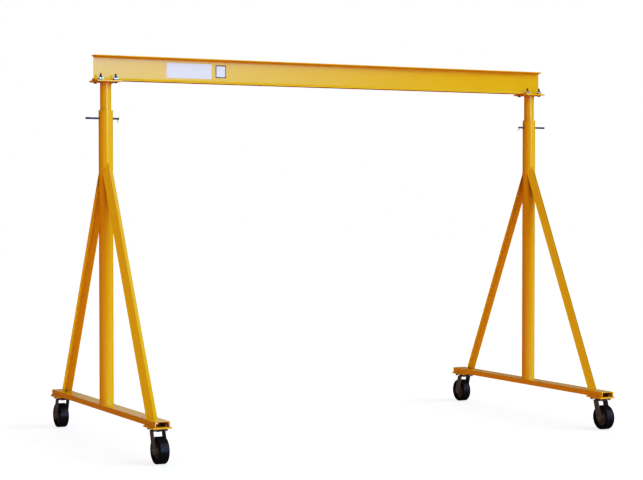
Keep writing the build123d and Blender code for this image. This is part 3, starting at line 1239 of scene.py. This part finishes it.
# Panels of light: headings to the right of the front and heights, both in degrees, from where a panel
# starts to where it is full and from there to where it ends, and its colour
room_colour = (0.20, 0.14, 0.11)
mirrored_panels = (
    ((-8, -2, 18, 31.5), (1.5, 4, 7, 12), (2.2, 6.1, 11.6)),
    ((-5, 10, 60, 80), (10, 16, 50, 60), (0.9, 1.0, 1.25)),
    ((56, 60, 66, 72), (-3, 2, 14, 20), (0.9, 0.9, 1.0)),
    ((110, 135, 170, 179), (6.2, 8, 14, 20), (0.76, 0.76, 0.84)),
)
fill_panels = (
    ((-8, -2, 16, 30), (4, 10, 18, 24), (2.0, 3.6, 4.4)),
    ((28, 40, 70, 85), (6, 12, 36, 46), (2.0, 3.3, 4.1)),
    ((-45, -35, 0, 10), (16, 22, 45, 55), (1.2, 1.6, 1.7)),
    ((-100, -85, -50, -35), (4, 10, 45, 60), (0.72, 0.53, 0.45)),
    ((-180, -179, 179, 180), (52, 62, 90, 91), (0.60, 0.42, 0.36)),
    ((135, 155, 179, 180), (8, 14, 40, 50), (2.2, 2.6, 2.8)),
    ((-180, -179, -170, -155), (8, 14, 40, 50), (0.8, 1.0, 1.1)),
)
# Pairs of a darkness and what it is shown as
shadow_curve = ((0.08, 0.045), (0.25, 0.19), (0.5, 0.49))


def make_floor():
    """A white floor that shows the camera a faint shadow and gives the crane a warm bounce."""
    bpy.ops.mesh.primitive_plane_add(size=floor_size)
    floor = named("studio_floor")
    material = bpy.data.materials.new("studio floor")
    material.use_nodes = True
    tree = material.node_tree
    tree.nodes.clear()
    rays = outputs_of(tree, "ShaderNodeLightPath")
    ahead = split(tree, object_place(tree))["Y"]
    sheen_share = worked_out(tree, "MULTIPLY", *[rise(tree, ahead, *reach) for reach in floor_sheen_reach])

    def shader(kind, inputs):
        return outputs_of(tree, kind, inputs)[0]

    seen = shader("ShaderNodeAddShader", {
        0: shader("ShaderNodeEmission", {"Strength": floor_glow}),
        1: shader("ShaderNodeBsdfDiffuse", {"Color": floor_shadow}),
    })
    reflected = shader("ShaderNodeAddShader", {
        0: shader("ShaderNodeBsdfDiffuse", {"Color": floor_dark}),
        1: shader("ShaderNodeEmission", {"Color": floor_sheen, "Strength": sheen_share}),
    })
    felt = shader("ShaderNodeMixShader", {
        0: rays["Is Glossy Ray"],
        1: shader("ShaderNodeBsdfDiffuse", {"Color": floor_bounce}),
        2: reflected,
    })
    outputs_of(tree, "ShaderNodeOutputMaterial", {
        "Surface": shader("ShaderNodeMixShader", {0: rays["Is Camera Ray"], 1: felt, 2: seen}),
    })
    floor.data.materials.append(material)


def studio_world():
    """White behind the crane. What lights it is a dim warm room with soft panels in it."""
    world = bpy.data.worlds.new("studio")
    bpy.context.scene.world = world
    world.use_nodes = True
    tree = world.node_tree
    tree.nodes.clear()
    way = split(tree, outputs_of(tree, "ShaderNodeTexCoord")["Generated"])
    front = worked_out(tree, "MULTIPLY", way["Y"], -1.0)
    heading = worked_out(tree, "DEGREES", worked_out(tree, "ARCTAN2", way["X"], front))
    height = worked_out(tree, "DEGREES", worked_out(tree, "ARCSINE", way["Z"]))
    rays = outputs_of(tree, "ShaderNodeLightPath")
    unmirrored = worked_out(tree, "SUBTRACT", 1.0, rays["Is Glossy Ray"])

    def scaled(colour, share):
        tint = tree.nodes.new("ShaderNodeVectorMath")
        tint.operation = "SCALE"
        fill(tree, tint, {0: colour, "Scale": share})
        return tint.outputs[0]

    def panel(headings, heights, colour, share=1.0):
        for value, (starts, full, full_to, ends) in ((heading, headings), (height, heights)):
            for none_at, full_at in ((starts, full), (ends, full_to)):
                share = worked_out(tree, "MULTIPLY", share, rise(tree, value, none_at, full_at))
        return scaled(colour, share)

    light = scaled(room_colour, unmirrored)
    for more in [panel(*lit) for lit in mirrored_panels] + [panel(*lit, unmirrored) for lit in fill_panels]:
        light = outputs_of(tree, "ShaderNodeVectorMath", {0: light, 1: more})[0]
    outputs_of(tree, "ShaderNodeOutputWorld", {
        "Surface": outputs_of(tree, "ShaderNodeMixShader", {
            0: rays["Is Camera Ray"],
            1: outputs_of(tree, "ShaderNodeBackground", {"Color": light})[0],
            2: outputs_of(tree, "ShaderNodeBackground", {"Color": (1, 1, 1, 1)})[0],
        })[0],
    })


def make_camera():
    lens = bpy.data.cameras.new("camera")
    lens.lens = camera_lens
    lens.sensor_width = camera_sensor
    camera = bpy.data.objects.new("camera", lens)
    bpy.context.collection.objects.link(camera)
    camera.location = camera_place
    camera.rotation_euler = (math.radians(camera_tilt), 0, math.radians(camera_heading))
    bpy.context.scene.camera = camera


def set_contrast():
    """Deepens the shadows a little and leaves black and white as they are."""
    view = bpy.context.scene.view_settings
    view.view_transform = "Standard"
    view.use_curve_mapping = True
    tones = view.curve_mapping.curves[ALL_TONES]
    for shade_in, shade_out in shadow_curve:
        tones.points.new(shade_in, shade_out)
    view.curve_mapping.update()


make_floor()
studio_world()
make_camera()
set_contrast()
